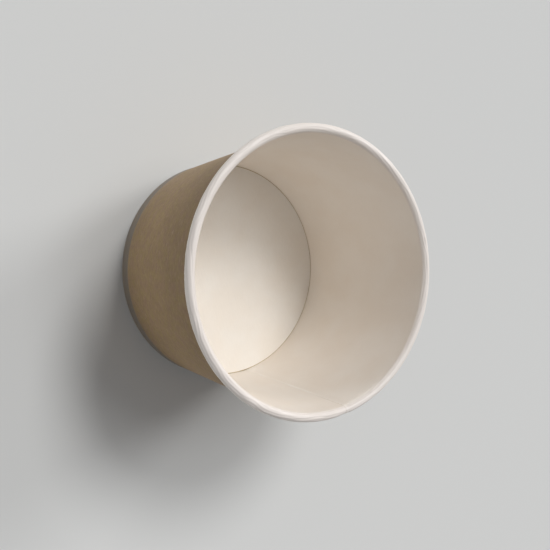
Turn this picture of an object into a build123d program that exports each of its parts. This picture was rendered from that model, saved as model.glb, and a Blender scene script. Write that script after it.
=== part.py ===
from build123d import *
import math
import os

# Paper soup container, standing on its foot. The origin is the centre of the base, +Z points to the mouth.
# Two pieces of coated board: the wrapped side wall and the bottom disc that it clamps.

# Overall sizes of the finished container
rim_diameter = 90.0
base_diameter = 74.0
container_height = 61.5

# The board that both blanks are cut from, and the sealed gap where two layers meet
wall_board = 0.38
disc_board = 0.38
seal_gap = 0.03

# The rolled rim: the board is rolled outwards and tucked in behind itself
roll_diameter = 3.0
tuck_gap = 0.05
first_turn = 270.0
tuck_turn = 150.0

# The foot: the zone where wall, skirt and turned-in edge are pressed together
heel_height = 5.5
heel_ramp = 0.25
foot_press = 0.12
foot_draft = 2.6
foot_corner = 0.3
turn_in_height = 4.4

# The bottom disc's edge, bent down into a skirt
skirt_clearance = 0.15
disc_bend_inside = 0.12

# The side seam: the inner flap's cut edge lies at seam_azimuth, and the outer layer eases over it
seam_azimuth = 90.0
lap_width = 7.0
ease_width = 5.0
ease_spans = 6

# Sizes that follow from these
roll_radius = roll_diameter / 2
base_radius = base_diameter / 2
disc_top = heel_height - heel_ramp
slot_width = disc_board + 2 * seal_gap
foot_slope = math.tan(math.radians(foot_draft))
mean_radius = (rim_diameter + base_diameter) / 4
# The tuck leaves room for both layers of the lap, so that one radius serves all round
tuck_outside = roll_radius - 2 * wall_board - tuck_gap
lap_angle = math.degrees(lap_width / mean_radius)
ease_angle = math.degrees(ease_width / mean_radius)


def foot_point(inset, z):
    """A point of the pressed foot, at the given distance in from its outer face."""
    return Vector(base_radius - inset + z * foot_slope, z)


# The wall's inner face runs from the heel, tangent to the outside of the roll.
roll_centre = Vector(rim_diameter / 2 - roll_radius, container_height - roll_radius)
heel_inside = foot_point(wall_board - foot_press, heel_height)
to_roll = roll_centre - heel_inside
taper = math.atan2(to_roll.X, to_roll.Y) - math.asin(roll_radius / to_roll.length)
up_wall = Vector(math.sin(taper), math.cos(taper))
out_of_wall = Vector(math.cos(taper), -math.sin(taper))
# Degrees in the section, where the first turn of the roll starts: straight into the container
roll_start = 180.0 - math.degrees(taper)


def section_face(outline, azimuth=0):
    """A closed outline, given as distance from the axis and height, as a face at one azimuth."""
    face = Face(Wire([edge for run in outline for edge in run.edges()]))
    return Rot(Z=azimuth) * (Plane.XZ * face)


def roll_arc(centre, radius, start, turn):
    """An arc that turns clockwise, the way the board is rolled."""
    return CenterArc((centre.X, centre.Y), radius, start, -turn)


def wall_section(inner_lift, outer_lift, azimuth):
    """The wall's section at one azimuth. A lift moves that face outwards from its place away from the seam."""
    outer_offset = wall_board + outer_lift
    roll_outside = roll_radius - inner_lift
    roll_inside = roll_radius - outer_offset

    # Up the wall's inner face and round the outside of the roll
    slot_foot = foot_point(wall_board - inner_lift, wall_board)
    inner_face = Polyline(
        slot_foot,
        foot_point(wall_board - inner_lift, disc_top),
        heel_inside + out_of_wall * inner_lift,
        roll_centre - out_of_wall * roll_outside,
    )
    outside_turn = roll_arc(roll_centre, roll_outside, roll_start, first_turn)

    # The tuck starts where the first turn ends, and clears the wall that it tucks in behind
    tuck_centre = roll_centre - up_wall * (roll_outside - tuck_outside)
    tuck_start = roll_start - first_turn
    tuck_back = roll_arc(tuck_centre, tuck_outside, tuck_start, tuck_turn)
    tuck_front = roll_arc(tuck_centre, tuck_outside - wall_board, tuck_start, tuck_turn)
    outline = [inner_face, outside_turn, tuck_back, Line(tuck_back @ 1, tuck_front @ 1), tuck_front]

    # Back along the inside of the roll and down the wall's outer face
    inside_turn = roll_arc(roll_centre, roll_inside, roll_start, first_turn)
    if outer_lift > inner_lift:
        # Where the board is doubled, its second layer is cut off at the end of the first turn
        outline.append(Line(tuck_front @ 0, inside_turn @ 1))
    band_outside = foot_point(-outer_lift, disc_top)
    outer_face = Polyline(inside_turn @ 0, heel_inside + out_of_wall * outer_offset, band_outside)

    # Under the foot, then up the turned-in edge that clamps the skirt, and back to the wall's inner face
    turned_inset = 2 * wall_board + slot_width
    turned_top = foot_point(turned_inset, turn_in_height)
    under = FilletPolyline(
        band_outside,
        foot_point(-outer_lift, 0),
        foot_point(turned_inset, 0),
        turned_top,
        radius=foot_corner,
    )
    slot_inset = wall_board + slot_width
    turned_edge = Polyline(
        turned_top,
        foot_point(slot_inset, turn_in_height),
        foot_point(slot_inset, wall_board),
        slot_foot,
    )
    outline += [inside_turn, outer_face, under, turned_edge]
    return section_face(outline, azimuth)


def build_side_wall():
    # Away from the seam: one layer, from the outer edge of the lap round to where the board starts to lift
    plain_angle = 360.0 - lap_angle - ease_angle
    plain = revolve(wall_section(0, 0, seam_azimuth + lap_angle), Axis.Z, plain_angle)

    # The lap: the inner flap with the outer flap sealed on it, also in the roll
    lap = revolve(wall_section(0, wall_board, seam_azimuth), Axis.Z, lap_angle)

    # The ease: the layer lifts smoothly until it can ride over the inner flap's cut edge
    steps = []
    for k in range(ease_spans + 1):
        share = k / ease_spans
        lift = wall_board * (1 - math.cos(math.pi * share)) / 2
        steps.append(wall_section(lift, lift, seam_azimuth - ease_angle * (1 - share)))
    ease = loft(steps)
    return plain + lap + ease


def build_bottom_disc():
    # The disc's edge bends down into a skirt that fills the slot in the foot, clear of it by the sealed gap
    skirt_outer = wall_board + seal_gap
    skirt_inner = skirt_outer + disc_board
    skirt_foot = wall_board + skirt_clearance
    over = FilletPolyline(
        Vector(0, disc_top),
        foot_point(skirt_outer, disc_top),
        foot_point(skirt_outer, skirt_foot),
        radius=disc_bend_inside + disc_board,
    )
    below = FilletPolyline(
        foot_point(skirt_inner, skirt_foot),
        foot_point(skirt_inner, disc_top - disc_board),
        Vector(0, disc_top - disc_board),
        radius=disc_bend_inside,
    )
    outline = [over, Line(over @ 1, below @ 0), below, Line(below @ 1, over @ 0)]
    return revolve(section_face(outline), Axis.Z, 360)


os.makedirs("parts", exist_ok=True)
for name, piece in {"side_wall": build_side_wall(), "bottom_disc": build_bottom_disc()}.items():
    export_step(piece, f"parts/{name}.step")
    print(name, "volume", round(piece.volume, 1), "size", piece.bounding_box().size)
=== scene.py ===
import math

import bmesh
import bpy
from mathutils import Matrix, Quaternion, Vector, noise


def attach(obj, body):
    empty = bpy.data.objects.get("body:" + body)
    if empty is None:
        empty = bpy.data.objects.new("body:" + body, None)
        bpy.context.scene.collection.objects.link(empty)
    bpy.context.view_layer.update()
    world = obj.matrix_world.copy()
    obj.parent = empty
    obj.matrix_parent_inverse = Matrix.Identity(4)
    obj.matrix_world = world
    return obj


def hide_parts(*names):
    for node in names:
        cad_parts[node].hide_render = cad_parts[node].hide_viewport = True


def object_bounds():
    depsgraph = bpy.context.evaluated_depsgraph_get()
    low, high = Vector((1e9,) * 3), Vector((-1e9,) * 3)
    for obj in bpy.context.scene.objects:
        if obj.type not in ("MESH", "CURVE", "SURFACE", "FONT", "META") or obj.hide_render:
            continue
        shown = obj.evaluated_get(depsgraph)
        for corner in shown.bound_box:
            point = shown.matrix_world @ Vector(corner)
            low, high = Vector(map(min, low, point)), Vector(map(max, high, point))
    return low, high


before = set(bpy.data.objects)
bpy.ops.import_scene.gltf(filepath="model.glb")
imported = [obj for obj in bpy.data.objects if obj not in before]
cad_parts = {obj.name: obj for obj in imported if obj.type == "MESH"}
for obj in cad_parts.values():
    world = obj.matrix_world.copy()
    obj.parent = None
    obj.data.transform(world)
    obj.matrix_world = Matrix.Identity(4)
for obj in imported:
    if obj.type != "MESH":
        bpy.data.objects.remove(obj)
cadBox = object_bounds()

mm = 0.001
print("frame loaded")


# Shader maths: a socket that takes part in Python expressions

class Signal:
    def __init__(self, finish, socket):
        self.finish = finish
        self.socket = socket

    def maths(self, operation, first, second):
        return self.finish.node("ShaderNodeMath", {"operation": operation}, {0: first, 1: second})

    def __add__(self, other):
        return self.maths("ADD", self, other)

    def __radd__(self, other):
        return self.maths("ADD", other, self)

    def __sub__(self, other):
        return self.maths("SUBTRACT", self, other)

    def __rsub__(self, other):
        return self.maths("SUBTRACT", other, self)

    def __mul__(self, other):
        return self.maths("MULTIPLY", self, other)

    def __rmul__(self, other):
        return self.maths("MULTIPLY", other, self)


# The nodes of one material, or of the world

class Finish:
    def __init__(self, owner):
        self.owner = owner
        owner.use_nodes = True
        self.tree = owner.node_tree
        self.tree.nodes.clear()

    def node(self, kind, settings=None, values=None, output=0):
        made = self.tree.nodes.new(kind)
        for key, value in (settings or {}).items():
            setattr(made, key, value)
        for key, value in (values or {}).items():
            if isinstance(value, Signal):
                self.tree.links.new(value.socket, made.inputs[key])
            else:
                made.inputs[key].default_value = value
        return Signal(self, made.outputs[output]) if made.outputs else None

    # Where a point lies in the object, and on the flat blank
    def solidPlace(self):
        return self.node("ShaderNodeTexCoord", output="Object")

    def sheetPlace(self):
        return self.node("ShaderNodeUVMap", {"uv_map": "sheetUv"})

    def partOf(self, where, axis):
        return self.node("ShaderNodeSeparateXYZ", {}, {0: where}, output="XYZ".index(axis))

    # Distance from the container's axis
    def reach(self, where):
        flat = self.node("ShaderNodeVectorMath", {"operation": "MULTIPLY"}, {0: where, 1: (1, 1, 0)})
        return self.node("ShaderNodeVectorMath", {"operation": "LENGTH"}, {0: flat}, output=1)

    # Noise of a given grain size, in millimetres
    def grain(self, where, size, detail=1.0, roughness=0.5, stretch=(1, 1, 1), turn=0.0):
        placed = self.node("ShaderNodeMapping", {}, {
            "Vector": where,
            "Scale": tuple(1 / (size * mm * share) for share in stretch),
            "Rotation": (0, 0, math.radians(turn)),
        })
        return self.node("ShaderNodeTexNoise", {}, {
            "Vector": placed, "Scale": 1.0, "Detail": detail, "Roughness": roughness,
        })

    # Rises from 0 to 1 as the value goes from one level to another
    def ramp(self, value, low, high):
        return self.node("ShaderNodeMapRange", {"interpolation_type": "SMOOTHSTEP"}, {
            "Value": value, "From Min": low, "From Max": high,
        })

    # The same over a stretch of the object, in millimetres
    def fade(self, place, start, end):
        return self.ramp(place, start * mm, end * mm)

    def total(self, signals, shares):
        parts = [signal * share for signal, share in zip(signals, shares)]
        return sum(parts[1:], parts[0])

    # How far flecks cover the board. A row has a grain's name, its levels of no and full cover, a share.
    def flecks(self, grains, rows):
        ramps = [self.ramp(grains[name], low, high) for name, low, high, share in rows]
        return self.total(ramps, [row[-1] for row in rows])

    def blend(self, share, first, second):
        return self.node("ShaderNodeMix", {"data_type": "RGBA"}, {0: share, 6: first, 7: second}, output=2)

    # The same colour made lighter or darker by a varying factor
    def tint(self, colour, factor):
        triple = self.node("ShaderNodeCombineXYZ", {}, {0: factor, 1: factor, 2: factor})
        return self.node("ShaderNodeVectorMath", {"operation": "MULTIPLY"}, {0: colour, 1: triple})

    def surface(self, colour, roughness, relief, look):
        depth = look["reliefDepth"] * mm
        bumped = self.node("ShaderNodeBump", {}, {"Height": relief, "Distance": depth, "Strength": 1.0})
        values = {"Base Color": colour, "Roughness": roughness, "Normal": bumped, **look["sockets"]}
        shader = self.node("ShaderNodeBsdfPrincipled", {}, values)
        self.node("ShaderNodeOutputMaterial", {}, {"Surface": shader})
        return self.owner


def rgb(red, green, blue):
    linear = [((c / 255 + 0.055) / 1.055) ** 2.4 for c in (red, green, blue)]
    return (*linear, 1.0)


# Brown kraft side: a felt of short fibres, mostly along the rim, with paler and darker flecks, and painted
# shade darkening it towards the rim.
# The foot is pressed up to the heel and painted greyer there, partly the pressed board and partly painted
# shade; above the heel runs a lighter line, a painted highlight, and the fold below is painted lighter,
# partly wear and partly a painted highlight.
# Lengths and heights are in millimetres, shares from 0 to 1.
kraftLook = {
    "fibre": rgb(176, 147, 109),
    "olive": rgb(173, 151, 98),
    "rosy": rgb(168, 137, 117),
    "hueBand": (0.36, 0.64),
    "hueShare": 0.38,
    "cloud": {"size": 9.0, "detail": 3.0, "roughness": 0.6},
    "patch": {"size": 2.6, "detail": 3.0, "roughness": 0.65, "stretch": (1.3, 1, 1)},
    "mottle": {"size": 0.9, "detail": 3.0, "roughness": 0.75, "stretch": (1.5, 0.8, 1)},
    "plainTone": 0.6,
    "mottleTone": 0.52,
    "cloudTone": 0.28,
    "fibres": {
        "long": {"size": 0.3, "stretch": (9, 1, 1), "turn": 4},
        "slant": {"size": 0.34, "stretch": (7, 1, 1), "turn": 33},
        "steep": {"size": 0.34, "stretch": (6, 1, 1), "turn": -52},
        "short": {"size": 0.28, "stretch": (4, 1, 1), "turn": 84},
    },
    "pale": rgb(212, 190, 158),
    "paleFlecks": [("long", 0.6, 0.72, 0.3), ("slant", 0.62, 0.74, 0.25)],
    "dark": rgb(108, 84, 59),
    "darkFlecks": [("steep", 0.62, 0.74, 0.33), ("short", 0.62, 0.74, 0.275), ("long", 0.4, 0.28, 0.1925)],
    # painted shade: the board is painted darker towards the rim
    "paintedRimShade": 0.26,  # how much darker the board is by the rim
    "paintedRimShadeFrom": 22.0,
    "paintedRimShadeTo": 54.0,
    "heel": 5.3,
    "heelFray": 0.12,
    "heelRadius": 36.3,  # the foot's outside starts here
    "heelRadiusFade": 0.4,
    # the pressed band's greyer board, darkened further by painted shade
    "pressedAndShaded": rgb(136, 132, 127),
    "pressedAndShadedFade": (0.05, -0.12),
    "pressedAndShadedShare": 0.5,
    "pressedAndShadedPatch": 0.4,
    "pressedGloss": 0.14,
    # painted highlight: a lighter line along the top of the foot band
    "heelHighlight": rgb(206, 180, 138),
    "heelHighlightFade": (0.45, 0.1),
    "heelHighlightShare": 0.45,
    # the bottom fold: wear, together with a painted highlight along its lit edge
    "wearAndHighlight": rgb(196, 186, 170),
    "wearAndHighlightFade": (0.8, 0.4),
    "wearAndHighlightShare": 0.35,
    "wearAndHighlightMottle": 0.7,
    "roughness": 0.74,
    "roughSpread": 0.16,
    "relief": (0.5, 0.3, 0.2),  # mottle, long and slanting fibres
    "reliefDepth": 0.04,
    "sockets": {
        "Specular IOR Level": 0.35,
        "Sheen Weight": 0.07,
        "Sheen Roughness": 0.4,
        "Sheen Tint": rgb(226, 228, 236),
    },
}


def kraftFinish():
    look = kraftLook
    finish = Finish(bpy.data.materials.new("kraftSide"))
    sheet = finish.sheetPlace()
    solid = finish.solidPlace()
    cloud = finish.grain(solid, **look["cloud"])
    patch = finish.grain(sheet, **look["patch"])
    mottle = finish.grain(sheet, **look["mottle"])
    fibres = {name: finish.grain(sheet, **kind) for name, kind in look["fibres"].items()}

    # The board itself
    hue = finish.blend(finish.ramp(patch, *look["hueBand"]), look["olive"], look["rosy"])
    colour = finish.blend(look["hueShare"], look["fibre"], hue)
    height = finish.partOf(solid, "Z")
    # painted shade: the board darkens towards the rim
    paintedRimShade = finish.fade(height, look["paintedRimShadeFrom"], look["paintedRimShadeTo"]) * look["paintedRimShade"]
    tone = look["plainTone"] + mottle * look["mottleTone"] + cloud * look["cloudTone"]
    colour = finish.tint(colour, tone * (1 - paintedRimShade))
    colour = finish.blend(finish.flecks(fibres, look["paleFlecks"]), colour, look["pale"])
    colour = finish.blend(finish.flecks(fibres, look["darkFlecks"]), colour, look["dark"])

    # The foot: its pressed band greyed partly by painted shade, a painted highlight above the heel, and a
    # worn fold with a painted highlight
    height = height + (mottle - 0.5) * (look["heelFray"] * mm)
    radius = look["heelRadius"]
    outside = finish.fade(finish.reach(solid), radius, radius + look["heelRadiusFade"])
    # pressed band up to the heel: pressed board and painted shade
    pressedAndShaded = finish.fade(height, *(look["heel"] + step for step in look["pressedAndShadedFade"])) * outside
    # painted highlight just above the heel
    heelHighlight = finish.fade(height, *(look["heel"] + step for step in look["heelHighlightFade"]))
    # lighter fold at the bottom: wear and a painted highlight
    wearAndHighlight = finish.fade(height, *look["wearAndHighlightFade"])
    layers = {
        "heelHighlight": heelHighlight * (outside - pressedAndShaded) * look["heelHighlightShare"],
        "pressedAndShaded": pressedAndShaded * (look["pressedAndShadedShare"] + patch * look["pressedAndShadedPatch"]),
        "wearAndHighlight": wearAndHighlight * (look["wearAndHighlightShare"] + mottle * look["wearAndHighlightMottle"]),
    }
    for name, share in layers.items():
        colour = finish.blend(share, colour, look[name])

    relief = finish.total((mottle, fibres["long"], fibres["slant"]), look["relief"])
    rough = look["roughness"] + (mottle - 0.5) * look["roughSpread"] - pressedAndShaded * look["pressedGloss"]
    return finish.surface(colour, rough, relief, look)


# White coated side: smooth and slightly waxy, with a faint cloud, and the board's grain just shows. The
# roll is painted darker: a little greyer rolled board, and painted shade.
# Along the inner flap's cut edge, where the seam is sealed, the coat is painted a brighter white in a line.
coatLook = {
    "white": rgb(247, 240, 231),
    "warm": rgb(243, 233, 221),
    "cloud": {"size": 14.0, "detail": 2.0},
    "cloudBand": (0.3, 0.7),
    "cloudShare": 0.6,
    "fine": {"size": 0.7, "detail": 2.0, "roughness": 0.6, "stretch": (2.5, 1, 1)},
    "fineShare": 0.3,
    "thread": {"size": 0.35, "stretch": (7, 1, 1), "turn": 3},
    "threadTone": (0.975, 0.04),
    # the roll's colour: slightly greyer rolled board, darkened further by painted shade
    "rolled": rgb(233, 224, 217),
    "rolledShare": 0.8,
    "rollHeight": 59.8,
    "rollFade": 1.1,
    "seal": rgb(254, 249, 243),
    "sealShare": 0.85,
    "sealLeast": 0.3,
    "sealFade": (0.9, 0.72),
    "sealPatch": {"size": 7.0},
    "sealPatchBand": (0.35, 0.6),
    "sealHeights": (56.0, 40.0),
    "roughness": 0.42,
    "roughSpread": 0.12,
    "relief": (0.6, 0.4),  # fine grain, threads
    "reliefDepth": 0.012,
    "sockets": {"Specular IOR Level": 0.45},
}


# The coat's two whites, clouded and faintly streaked by the board's threads
def coatedWhite(finish, look, cloud, fine, thread):
    warm = finish.ramp(cloud, *look["cloudBand"]) * look["cloudShare"] + fine * look["fineShare"]
    base, depth = look["threadTone"]
    return finish.tint(finish.blend(warm, look["white"], look["warm"]), base + thread * depth)


def coatFinish():
    look = coatLook
    finish = Finish(bpy.data.materials.new("coatedSide"))
    sheet = finish.sheetPlace()
    solid = finish.solidPlace()
    cloud = finish.grain(solid, **look["cloud"])
    fine = finish.grain(sheet, **look["fine"])
    thread = finish.grain(sheet, **look["thread"])
    colour = coatedWhite(finish, look, cloud, fine, thread)
    height = finish.partOf(solid, "Z")
    # painted shade on the roll, with the rolled board's greyer tone
    rolled = finish.fade(height, look["rollHeight"], look["rollHeight"] + look["rollFade"])
    colour = finish.blend(rolled * look["rolledShare"], colour, look["rolled"])

    # The line by the flap's edge comes and goes, and fades towards the rim
    least = look["sealLeast"]
    seal = finish.fade(finish.partOf(sheet, "X"), *look["sealFade"])
    patch = finish.ramp(finish.grain(solid, **look["sealPatch"]), *look["sealPatchBand"])
    for strength in (patch, finish.fade(height, *look["sealHeights"])):
        seal = seal * (least + (1 - least) * strength)
    colour = finish.blend(seal * look["sealShare"], colour, look["seal"])

    relief = finish.total((fine, thread), look["relief"])
    rough = look["roughness"] + (fine - 0.5) * look["roughSpread"]
    return finish.surface(colour, rough, relief, look)


# Raw board where the blank was cut: pale core with brown fibres.
# The edge that shows inside, along the sealed seam, is painted near white.
edgeLook = {
    "core": rgb(228, 213, 188),
    "brown": rgb(192, 167, 130),
    "brownBand": (0.5, 0.75),
    "brownShare": 0.5,
    "fray": {"size": 0.5, "detail": 3.0, "roughness": 0.7},
    "sealed": rgb(250, 246, 240),
    "sealedFade": (6.0, 3.0),
    "sealedLeast": 0.35,
    "sealedShare": 0.9,
    "roughness": 0.85,
    "reliefDepth": 0.05,
    "sockets": {"Specular IOR Level": 0.25},
}


def edgeFinish():
    look = edgeLook
    finish = Finish(bpy.data.materials.new("cutEdge"))
    solid = finish.solidPlace()
    fray = finish.grain(solid, **look["fray"])
    brown = finish.ramp(fray, *look["brownBand"]) * look["brownShare"]
    colour = finish.blend(brown, look["core"], look["brown"])
    least = look["sealedLeast"]
    low = finish.fade(finish.partOf(solid, "Z"), *coatLook["sealHeights"])
    sealed = finish.fade(finish.partOf(finish.sheetPlace(), "X"), *look["sealedFade"])
    sealed = sealed * (least + (1 - least) * low)
    colour = finish.blend(sealed * look["sealedShare"], colour, look["sealed"])
    return finish.surface(colour, look["roughness"], fray, look)


# The bottom disc's coated face has the same coat, painted brown and darker where its edge bends into the
# corner: the joint's own brown, and painted shade of the crevice
discLook = {
    "white": rgb(243, 238, 230),
    "warm": rgb(239, 231, 220),
    "cloud": {"size": 12.0, "detail": 2.0},
    "cloudBand": (0.3, 0.7),
    "cloudShare": 0.6,
    "fine": {"size": 0.6, "detail": 2.0, "roughness": 0.6, "stretch": (2.5, 1, 1)},
    "fineShare": 0.3,
    "thread": {"size": 0.35, "stretch": (1, 7, 1), "turn": 2},
    "threadTone": (0.97, 0.05),
    # the joint's brown, darkened by painted shade of the corner's crevice
    "corner": rgb(184, 163, 110),
    "cornerShare": 0.95,
    "cornerRadius": 36.52,
    "cornerWidth": 0.14,
    "cornerFray": 0.1,
    "roughness": 0.42,
    "roughSpread": 0.12,
    "relief": (0.5, 0.5),  # fine grain, threads
    "reliefDepth": 0.014,
    "sockets": {"Specular IOR Level": 0.45},
}


def discFinish():
    look = discLook
    finish = Finish(bpy.data.materials.new("coatedDisc"))
    solid = finish.solidPlace()
    cloud, fine, thread = (finish.grain(solid, **look[name]) for name in ("cloud", "fine", "thread"))
    colour = coatedWhite(finish, look, cloud, fine, thread)
    radius = finish.reach(solid) + (fine - 0.5) * (look["cornerFray"] * mm)
    # painted shade of the corner's crevice, with the joint's brown
    corner = finish.fade(radius, look["cornerRadius"], look["cornerRadius"] + look["cornerWidth"])
    colour = finish.blend(corner * look["cornerShare"], colour, look["corner"])
    relief = finish.total((fine, thread), look["relief"])
    rough = look["roughness"] + (fine - 0.5) * look["roughSpread"]
    return finish.surface(colour, rough, relief, look)


# Rises smoothly from 0 to 1 with its share
def smooth(share):
    share = min(max(share, 0.0), 1.0)
    return share * share * (3 - 2 * share)


# Profiles are lists of (distance from the axis, height), in millimetres

def lineTo(points, end, count):
    start = points[-1]
    for k in range(1, count + 1):
        share = k / count
        points.append((start[0] + (end[0] - start[0]) * share, start[1] + (end[1] - start[1]) * share))


def arcTo(points, centre, radius, start, turn, count):
    for k in range(1, count + 1):
        angle = math.radians(start + turn * k / count)
        points.append((centre[0] + radius * math.cos(angle), centre[1] + radius * math.sin(angle)))


def spinProfile(points, startAngle, turn, steps):
    bm = bmesh.new()
    for r, z in points:
        bm.verts.new((r * mm, 0, z * mm))
    bm.verts.ensure_lookup_table()
    for a, b in zip(bm.verts[:-1], bm.verts[1:]):
        bm.edges.new((a, b))
    bmesh.ops.rotate(bm, verts=bm.verts, matrix=Matrix.Rotation(math.radians(startAngle), 3, "Z"))
    bmesh.ops.spin(bm, geom=bm.verts[:] + bm.edges[:], axis=(0, 0, 1), cent=(0, 0, 0),
                   angle=math.radians(turn), steps=steps, use_merge=turn == 360, use_duplicate=False)
    bm.verts.ensure_lookup_table()
    return bm


# Turns the whole sheet over if this face of it looks the other way
def faceTowards(bm, face, direction):
    if face.normal.dot(direction) < 0:
        bmesh.ops.reverse_faces(bm, faces=bm.faces)


hardAngle = math.radians(38)  # a sharper corner than this stays hard


# Gives a one-layer board its thickness, its two sides and its cut edges
def boardPiece(name, bm, thickness, materials, shares=None):
    mesh = bpy.data.meshes.new(name)
    bm.to_mesh(mesh)
    bm.free()
    sheet = bpy.data.objects.new(name + "Sheet", mesh)
    bpy.context.scene.collection.objects.link(sheet)
    group = sheet.vertex_groups.new(name="thickness")
    for k in range(len(mesh.vertices)):
        group.add([k], shares[k] if shares else 1.0, "REPLACE")
    for material in materials:
        mesh.materials.append(material)
    board = sheet.modifiers.new("board", "SOLIDIFY")
    board.thickness = thickness * mm
    board.vertex_group = group.name
    board.offset = -1
    board.use_even_offset = False
    board.use_quality_normals = True
    board.material_offset = 1
    board.material_offset_rim = 2
    bpy.context.view_layer.update()
    solid = sheet.evaluated_get(bpy.context.evaluated_depsgraph_get())
    finished = bpy.data.meshes.new_from_object(solid)
    bpy.data.objects.remove(sheet)

    bm = bmesh.new()
    bm.from_mesh(finished)
    for face in bm.faces:
        face.smooth = True
    for edge in bm.edges:
        if edge.is_manifold and edge.calc_face_angle(0) > hardAngle:
            edge.smooth = False
    bm.to_mesh(finished)
    bm.free()
    finished.name = name
    piece = bpy.data.objects.new(name, finished)
    bpy.context.scene.collection.objects.link(piece)
    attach(piece, "root")
    return piece


# The side wall: one blank, from its turned-in foot edge up to the tuck of its rolled rim.
# Lengths are in millimetres, angles in degrees. A seed says where an unevenness starts in the noise, and
# a step how far it moves on there from one crease to the next.
wall = {
    "board": 0.38,
    "rimRadius": cadBox[1][0] / mm,
    "height": cadBox[1][2] / mm,
    "rollRadius": 1.5,
    "tuckRadius": 0.69,
    "firstTurn": 270,
    "tuckTurn": 150,
    "baseRadius": 37.0,
    "footSlope": math.tan(math.radians(2.6)),
    "footCorner": 0.3,
    "footLayers": 1.2,  # from the foot's outside to its inside
    "turnedHeight": 4.4,
    "discTop": 5.25,
    "heelHeight": 5.5,
    "footPress": 0.12,
    "seamAngle": 90.0,
    "lapWidth": 7.0,
    "lapGap": 0.01,
    "easeWidth": 5.0,
    "steps": 370,
    # Rows of points along each stretch of the profile
    "rows": {"turned": 7, "corner": 4, "under": 2, "band": 8, "heel": 2,
             "wall": 12, "nearRoll": 14, "roll": 60, "tuck": 8},
    # The roll's small flats, which wander along the rim, and its fine grain
    "facets": 9.6,
    "facetDepth": 0.12,
    "facetMean": 0.75,
    "facetSpread": 0.8,
    "facetLength": 6.0,
    "facetTurn": 50.0,
    "facetSeed": (1, 4),
    "driftTurns": 2.4,
    "driftLength": 16.0,
    "driftSeed": (3, 8, 2),
    "driftFineTurns": 0.6,
    "driftFineLength": 5.0,
    "driftFineSeed": (9, 1, 6),
    "grainDepth": 0.045,
    "grainLength": 3.5,
    "grainPitch": 0.45,
    "grainSeed": 40,
    "facetEase": 0.6,
    "kinkPlace": 64.0,  # how far round the rim, from +X
    "kinkWidth": 5.0,
    "kinkTurn": 0.7,
    # The shoulder and the creases under the roll, beside the seam
    "shoulderDepth": 0.2,
    "shoulderPlace": 0.45,
    "shoulderReach": 1.3,
    "ridgeDepth": 0.12,
    "ridgeMean": 0.8,
    "ridgeSpread": 0.7,
    "ridgePatch": 3.0,
    "ridgePatchSeed": 5.0,
    "ridgePatchStep": 1.3,
    "ridgeReach": 1.7,
    "ridgeEase": 0.6,
    "ridgePitch": 0.75,
    "ridgeWander": 0.3,
    "ridgeWanderLength": 5.0,
    "ridgeWanderSeed": 2.0,
    "ridgeWanderStep": 0.4,
    "ridgeStart": 0.5,
    "ridgeLength": 30.0,
    "ridgeFray": 9.0,
    "ridgeFraySeed": (7.0, 3.0),
    "ridgeFrayStep": 1.7,
    "ridgeFade": 14.0,
    # The seal: how far the flap's edge is pressed thinner and the board beside it swells
    "flapPress": 0.5,
    "flapPressWidth": 4.0,
    "sealFill": 0.5,
    "sealFillWidth": 7.0,
    "sealEaseRows": 4,
    "rollFill": 0.9,
    "rollFillRows": 8,
    "rollFillPast": 6,
    # The wall's gentle waves, and the ribs pressed into the turned-in edge
    "waveDepth": 0.12,
    "waveLength": 26.0,
    "waveSeed": (7, 3, 11),
    "waveEaseLow": 12.0,
    "waveEaseHigh": 8.0,
    "ribDepth": 0.2,
    "ribCount": 92,
    "ribEaseRows": 2,
}


# A point of the foot, at the given distance in from its outer face
def footPoint(w, inset, z):
    return (w["baseRadius"] - inset + z * w["footSlope"], z)


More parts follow.
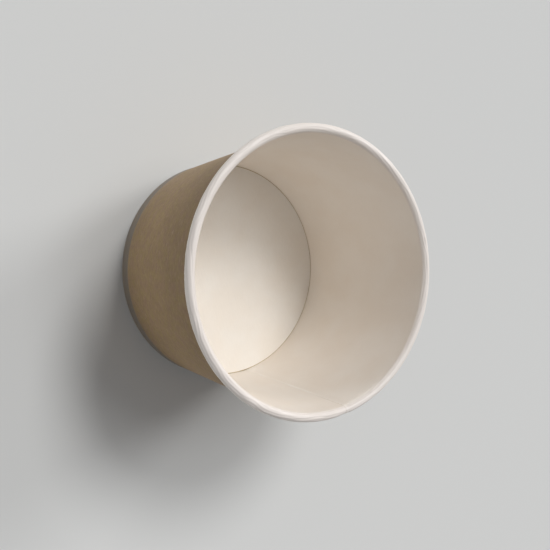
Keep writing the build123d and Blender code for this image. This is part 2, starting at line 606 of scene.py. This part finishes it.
# The profile's points, which way each one moves where the board lifts, and its distance along the board.
# The rest are the rows at which the turned-in edge, the fold under it, the wall and the roll end.
def wallProfile(w):
    rows = w["rows"]
    centre = (w["rimRadius"] - w["rollRadius"], w["height"] - w["rollRadius"])
    heelInside = footPoint(w, w["board"] - w["footPress"], w["heelHeight"])
    reach = (centre[0] - heelInside[0], centre[1] - heelInside[1])
    taper = math.atan2(*reach) - math.asin(w["rollRadius"] / math.hypot(*reach))
    outward = (math.cos(taper), -math.sin(taper))
    up = (math.sin(taper), math.cos(taper))
    rollStart = 180 - math.degrees(taper)
    kraftRoll = w["rollRadius"] - w["board"]
    corner = w["footCorner"]

    # Down the turned-in edge, under the foot and up to the heel
    points = [footPoint(w, w["footLayers"], w["turnedHeight"])]
    lineTo(points, footPoint(w, w["footLayers"], corner), rows["turned"])
    turnedEnd = len(points)
    arcTo(points, (points[-1][0] + corner, corner), corner, 180, 90, rows["corner"])
    lineTo(points, (w["baseRadius"] - corner, 0), rows["under"])
    foldEnd = len(points)
    arcTo(points, (w["baseRadius"] - corner, corner), corner, 270, 90, rows["corner"])
    lineTo(points, footPoint(w, 0, w["discTop"]), rows["band"])
    heel = (heelInside[0] + outward[0] * w["board"], heelInside[1] + outward[1] * w["board"])
    lineTo(points, heel, rows["heel"])

    # Up the wall and round the roll, with closer rows where the creases are
    start = (centre[0] - outward[0] * kraftRoll, centre[1] - outward[1] * kraftRoll)
    near = w["ridgeReach"] / math.dist(heel, start)
    nearRoll = (start[0] + near * (heel[0] - start[0]), start[1] + near * (heel[1] - start[1]))
    lineTo(points, nearRoll, rows["wall"])
    lineTo(points, start, rows["nearRoll"])
    wallEnd = len(points)
    arcTo(points, centre, kraftRoll, rollStart, -w["firstTurn"], rows["roll"])
    rollEnd = len(points)
    drop = w["rollRadius"] - w["tuckRadius"]
    tuckCentre = (centre[0] - up[0] * drop, centre[1] - up[1] * drop)
    tuckStart = rollStart - w["firstTurn"]
    arcTo(points, tuckCentre, w["tuckRadius"] - w["board"], tuckStart, -w["tuckTurn"], rows["tuck"])

    lifts = []
    for k, (r, z) in enumerate(points):
        if k < turnedEnd:
            lifts.append((0.0, 0.0))
        elif k < foldEnd:
            lifts.append(((k - turnedEnd) / (foldEnd - turnedEnd), 0.0))
        elif z <= w["discTop"]:
            lifts.append((1.0, 0.0))
        elif k < wallEnd:
            lifts.append(outward)
        elif k < rollEnd:
            lifts.append(((centre[0] - r) / kraftRoll, (centre[1] - z) / kraftRoll))
        else:
            lifts.append(up)

    lengths = [0.0]
    for a, b in zip(points[:-1], points[1:]):
        lengths.append(lengths[-1] + math.dist(a, b))
    return {
        "points": points, "lifts": lifts, "lengths": lengths,
        "turned": turnedEnd, "fold": foldEnd, "wall": wallEnd, "roll": rollEnd,
    }


# The roll isn't quite round: it has small flats, which a kink by the seam shifts round
def rollPush(w, ring, around, along):
    def rimNoise(length, *shift):
        return noise.noise(ring * (w["rimRadius"] / length) + Vector(shift))

    turned = math.degrees(along / (w["rollRadius"] - w["board"]))
    azimuth = (around + w["seamAngle"]) % 360
    place = turned / 360 * w["facets"]
    place += w["driftTurns"] * rimNoise(w["driftLength"], *w["driftSeed"])
    place += w["driftFineTurns"] * rimNoise(w["driftFineLength"], *w["driftFineSeed"])
    place += w["kinkTurn"] * smooth((azimuth - w["kinkPlace"]) / w["kinkWidth"] + 0.5)
    off = 2 * (place - math.floor(place)) - 1
    uneven = rimNoise(w["facetLength"], *w["facetSeed"], turned / w["facetTurn"])
    flat = w["facetDepth"] * (w["facetMean"] + w["facetSpread"] * uneven) * (1 - off * off)
    grain = rimNoise(w["grainLength"], 0, 0, along / w["grainPitch"] + w["grainSeed"])
    fine = w["grainDepth"] * (0.5 + grain)
    return smooth(along / w["facetEase"]) * (flat + fine)


# Fine uneven creases under the roll, where it had to take two layers of board
def lapRidge(w, around, below):
    past = around % 360
    if past > w["ridgeLength"] + w["ridgeFray"] or abs(below) > w["ridgeReach"]:
        return 0.0
    place = below / w["ridgePitch"]
    wander = Vector((past / w["ridgeWanderLength"], w["ridgeWanderSeed"], w["ridgeWanderStep"] * place))
    place += w["ridgeWander"] * noise.noise(wander)
    fray = Vector((*w["ridgeFraySeed"], w["ridgeFrayStep"] * round(place)))
    end = w["ridgeLength"] + w["ridgeFray"] * noise.noise(fray)
    onLap = smooth(past / w["ridgeStart"]) * smooth((end - past) / w["ridgeFade"])
    patch = Vector((past / w["ridgePatch"], w["ridgePatchSeed"], w["ridgePatchStep"] * place))
    depth = w["ridgeDepth"] * (w["ridgeMean"] + w["ridgeSpread"] * noise.noise(patch))
    ridges = depth * (0.5 + 0.5 * math.cos(2 * math.pi * place))
    ridges *= smooth((w["ridgeReach"] - abs(below)) / w["ridgeEase"])
    shoulder = w["shoulderDepth"] * smooth(1 - abs(below - w["shoulderPlace"]) / w["shoulderReach"])
    return (shoulder + ridges) * onLap


# The wall isn't quite round either: broad waves die out towards the heel and the rim
def wallPush(w, place):
    broad = noise.noise(place / w["waveLength"] + Vector(w["waveSeed"]))
    low = smooth((place.z - w["heelHeight"]) / w["waveEaseLow"])
    high = smooth((w["height"] - place.z) / w["waveEaseHigh"])
    return -w["waveDepth"] * broad * low * high


# Ribs pressed into the turned-in edge, which leave its first and last rows alone
def ribPush(w, around, row, lastRow):
    rib = w["ribDepth"] * (0.5 + 0.5 * math.cos(math.radians(around) * w["ribCount"]))
    return rib * smooth(row / w["ribEaseRows"]) * smooth((lastRow - row) / w["ribEaseRows"])


# Moves a vertex of the plain spun sheet to where the lapped, rolled and pressed board has it
def shapeVertex(w, profile, vert, row, around, ease):
    angle = math.radians(around + w["seamAngle"])
    ring = Vector((math.cos(angle), math.sin(angle), 0))
    along = profile["lengths"][row] - profile["lengths"][profile["wall"] - 1]
    if row < profile["turned"]:
        outwards, upwards = -ribPush(w, around, row, profile["turned"] - 1), 0.0
    else:
        out = (w["board"] + w["lapGap"]) * smooth((around - 360 + ease) / ease)
        if row >= profile["wall"] - 1:
            out += rollPush(w, ring, around, along)
        else:
            out += wallPush(w, vert.co / mm)
        if row >= profile["fold"]:
            out += lapRidge(w, around, along)
        outwards, upwards = (out * share for share in profile["lifts"][row])
    vert.co += (ring * outwards + Vector((0, 0, upwards))) * mm


# Heat and pressure level the seal: the flap's edge is pressed thinner, the board beside it is swollen
def thicknessShare(w, profile, row, around):
    onWall = smooth((row - profile["fold"]) / w["sealEaseRows"])
    beforeRoll = smooth((profile["wall"] + w["rollFillPast"] - row) / w["rollFillRows"])
    onWall *= w["rollFill"] + (1 - w["rollFill"]) * beforeRoll
    share = 1 - w["flapPress"] * (1 - smooth(around / w["flapPressWidth"])) * onWall
    if around <= 360:
        share += w["sealFill"] * smooth((around - 360 + w["sealFillWidth"]) / w["sealFillWidth"]) * onWall
    return share / (1 + w["sealFill"])


def buildWall(materials):
    w = wall
    profile = wallProfile(w)
    count = len(profile["points"])
    meanRadius = (w["rimRadius"] + w["baseRadius"]) / 2
    ease = math.degrees(w["easeWidth"] / meanRadius)
    turn = 360 + math.degrees(w["lapWidth"] / meanRadius)
    bm = spinProfile(profile["points"], w["seamAngle"], turn, w["steps"])

    # Where each vertex lies on the flat blank: how far round, and in which row
    around = [turn * (k // count) / w["steps"] for k in range(len(bm.verts))]
    rows = [k % count for k in range(len(bm.verts))]
    uv = bm.loops.layers.uv.new("sheetUv")
    for face in bm.faces:
        for loop in face.loops:
            k = loop.vert.index
            loop[uv].uv = (math.radians(around[k]) * meanRadius * mm, profile["lengths"][rows[k]] * mm)

    # The outer flap's corners are trimmed where they would double the fold and the tuck
    doubled = []
    for face in bm.faces:
        places = [vert.index for vert in face.verts]
        faceRows = [rows[k] for k in places]
        past = min(around[k] for k in places) > 360 - 0.5 * turn / w["steps"]
        if past and (max(faceRows) < profile["fold"] or min(faceRows) >= profile["roll"] - 1):
            doubled.append(face)

    shares = []
    for vert, row, angle in zip(bm.verts, rows, around):
        shapeVertex(w, profile, vert, row, angle, ease)
        shares.append(thicknessShare(w, profile, row, angle))
    bmesh.ops.delete(bm, geom=doubled, context="FACES")
    bmesh.ops.recalc_face_normals(bm, faces=bm.faces)

    # The kraft side faces out: a face halfway up the wall tells which way the sheet was turned
    bm.faces.ensure_lookup_table()
    halfway = min(bm.faces, key=lambda f: abs(f.calc_center_median().z - 0.5 * w["height"] * mm))
    faceTowards(bm, halfway, halfway.calc_center_median() * Vector((1, 1, 0)))
    piece = boardPiece("wrappedWall", bm, w["board"] * (1 + w["sealFill"]), materials, shares)
    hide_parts("side_wall")


# The bottom: a disc with its edge bent down into the skirt that the foot clamps.
# Lengths are in millimetres, angles in degrees.
bottom = {
    "board": 0.38,
    "top": wall["discTop"],
    "skirtInset": 0.41,
    "skirtFoot": 0.53,
    "bend": 0.22,
    "bendTurn": 88,
    "centre": 0.4,  # radius of the face that closes the spun disc
    "sag": 0.12,
    "wave": 0.06,
    "waveLength": 18.0,
    "waveSeed": (2, 9, 5),
    "flatWithin": 0.01,  # a point this near the top is on the flat face
    "flatEdge": 1.5,
    "flatEase": 10.0,
    "weld": 0.0001,
    "steps": 240,
    "rows": {"disc": 26, "bend": 7, "skirt": 3},
}


def buildBottom(materials):
    b = bottom
    rows = b["rows"]
    edge = footPoint(wall, b["skirtInset"], b["top"])[0]
    points = [(b["centre"], b["top"])]
    lineTo(points, (edge - b["bend"], b["top"]), rows["disc"])
    arcTo(points, (edge - b["bend"], b["top"] - b["bend"]), b["bend"], 90, -b["bendTurn"], rows["bend"])
    lineTo(points, footPoint(wall, b["skirtInset"], b["skirtFoot"]), rows["skirt"])
    bm = spinProfile(points, 0, 360, b["steps"])
    bmesh.ops.remove_doubles(bm, verts=bm.verts, dist=b["weld"] * mm)
    flat = [v for v in bm.verts if v.co.z > (b["top"] - b["flatWithin"]) * mm]
    hole = [e for e in bm.edges if e.is_boundary and e.verts[0] in set(flat)]
    bmesh.ops.contextual_create(bm, geom=hole)

    # The disc sags a little towards its middle, and isn't quite flat
    for vert in flat:
        reach = vert.co.to_2d().length / mm
        inside = smooth((edge - b["flatEdge"] - reach) / b["flatEase"])
        broad = noise.noise(vert.co / mm / b["waveLength"] + Vector(b["waveSeed"]))
        vert.co.z -= (b["sag"] * (1 - (reach / edge) ** 2) + b["wave"] * (0.5 + broad)) * inside * mm
    bmesh.ops.recalc_face_normals(bm, faces=bm.faces)
    middle = max(bm.faces, key=lambda f: f.calc_center_median().z - f.calc_center_median().to_2d().length)
    faceTowards(bm, middle, Vector((0, 0, 1)))
    uv = bm.loops.layers.uv.new("sheetUv")
    for face in bm.faces:
        for loop in face.loops:
            loop[uv].uv = loop.vert.co.to_2d()
    piece = boardPiece("flangedBottom", bm, b["board"], materials)
    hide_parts("bottom_disc")


kraft = kraftFinish()
coat = coatFinish()
cutEdge = edgeFinish()
disc = discFinish()
print("finishes made")
buildWall([kraft, coat, cutEdge])
print("wall wrapped, lapped and rolled")
buildBottom([disc, kraft, cutEdge])
print("bottom set in")


# Studio: a pale floor, three soft keys from the photograph's right and top, a weak fill from its left.
# Each lamp has its azimuth, elevation and spread in degrees, its level and its colour.
studio = {
    "floor": rgb(215, 215, 213),
    "floorSize": 60.0,
    "backdrop": rgb(207, 208, 206),
    "sky": rgb(238, 239, 242),
    "skyLevel": 0.3,
    "lamps": {
        "lowKey": (-165, 25, 20, 1.1, (0.98, 0.99, 1.0)),
        "highKey": (-120, 55, 20, 1.35, (0.99, 0.995, 1.0)),
        "topKey": (-150, 70, 20, 0.45, (0.99, 0.995, 1.0)),
        "fill": (15, 9, 40, 0.06, (1.0, 0.99, 0.97)),
    },
}


def buildFloor():
    bm = bmesh.new()
    bmesh.ops.create_grid(bm, x_segments=1, y_segments=1, size=studio["floorSize"] / 2)
    mesh = bpy.data.meshes.new("floor")
    bm.to_mesh(mesh)
    bm.free()
    floor = bpy.data.objects.new("floor", mesh)
    bpy.context.scene.collection.objects.link(floor)
    finish = Finish(bpy.data.materials.new("paleFloor"))
    matt = {"Base Color": studio["floor"], "Roughness": 1.0, "Specular IOR Level": 0.0}
    shader = finish.node("ShaderNodeBsdfPrincipled", {}, matt)
    finish.node("ShaderNodeOutputMaterial", {}, {"Surface": shader})
    mesh.materials.append(finish.owner)


# The camera sees a backdrop of the floor's tone, and the light comes from a paler, dimmer sky
def buildSky():
    world = Finish(bpy.data.worlds.new("studioWorld"))
    light = world.node("ShaderNodeBackground", {}, {"Color": studio["sky"], "Strength": studio["skyLevel"]})
    shown = world.node("ShaderNodeBackground", {}, {"Color": studio["backdrop"]})
    seen = world.node("ShaderNodeLightPath", output="Is Camera Ray")
    mixed = world.node("ShaderNodeMixShader", {}, {0: seen, 1: light, 2: shown})
    world.node("ShaderNodeOutputWorld", {}, {"Surface": mixed})
    bpy.context.scene.world = world.owner


def buildLamps():
    for name, (azimuth, elevation, spread, level, colour) in studio["lamps"].items():
        lamp = bpy.data.lights.new(name, "SUN")
        lamp.angle = math.radians(spread)
        lamp.energy = level
        lamp.color = colour
        holder = bpy.data.objects.new(name, lamp)
        flat = math.cos(math.radians(elevation))
        holder.location = (
            flat * math.cos(math.radians(azimuth)),
            flat * math.sin(math.radians(azimuth)),
            math.sin(math.radians(elevation)),
        )
        holder.rotation_euler = (-holder.location).to_track_quat("-Z", "Y").to_euler()
        bpy.context.scene.collection.objects.link(holder)


# The photograph's view: the camera looks down into the mouth, rolled so that the foot is at the left
view = {
    "lens": 59.54,
    "sensor": 36.0,
    "nearest": 0.01,
    "farthest": 50,
    "place": (0.15541, -0.04486, 0.28159),
    "aim": (0.00033, 0.00110, 0.03686),
    "roll": 92.52,
}


def buildCamera():
    camera = bpy.data.cameras.new("photoView")
    camera.lens = view["lens"]
    camera.sensor_width = view["sensor"]
    camera.sensor_fit = "HORIZONTAL"
    camera.clip_start = view["nearest"]
    camera.clip_end = view["farthest"]
    shot = bpy.data.objects.new("photoView", camera)
    shot.location = view["place"]
    level = (Vector(view["aim"]) - shot.location).to_track_quat("-Z", "Y")
    shot.rotation_mode = "QUATERNION"
    shot.rotation_quaternion = level @ Quaternion((0, 0, 1), math.radians(view["roll"]))
    bpy.context.scene.collection.objects.link(shot)
    bpy.context.scene.camera = shot


buildFloor()
buildSky()
buildLamps()
print("studio lit")
buildCamera()
bpy.context.scene.view_settings.view_transform = "Standard"
print("camera set")
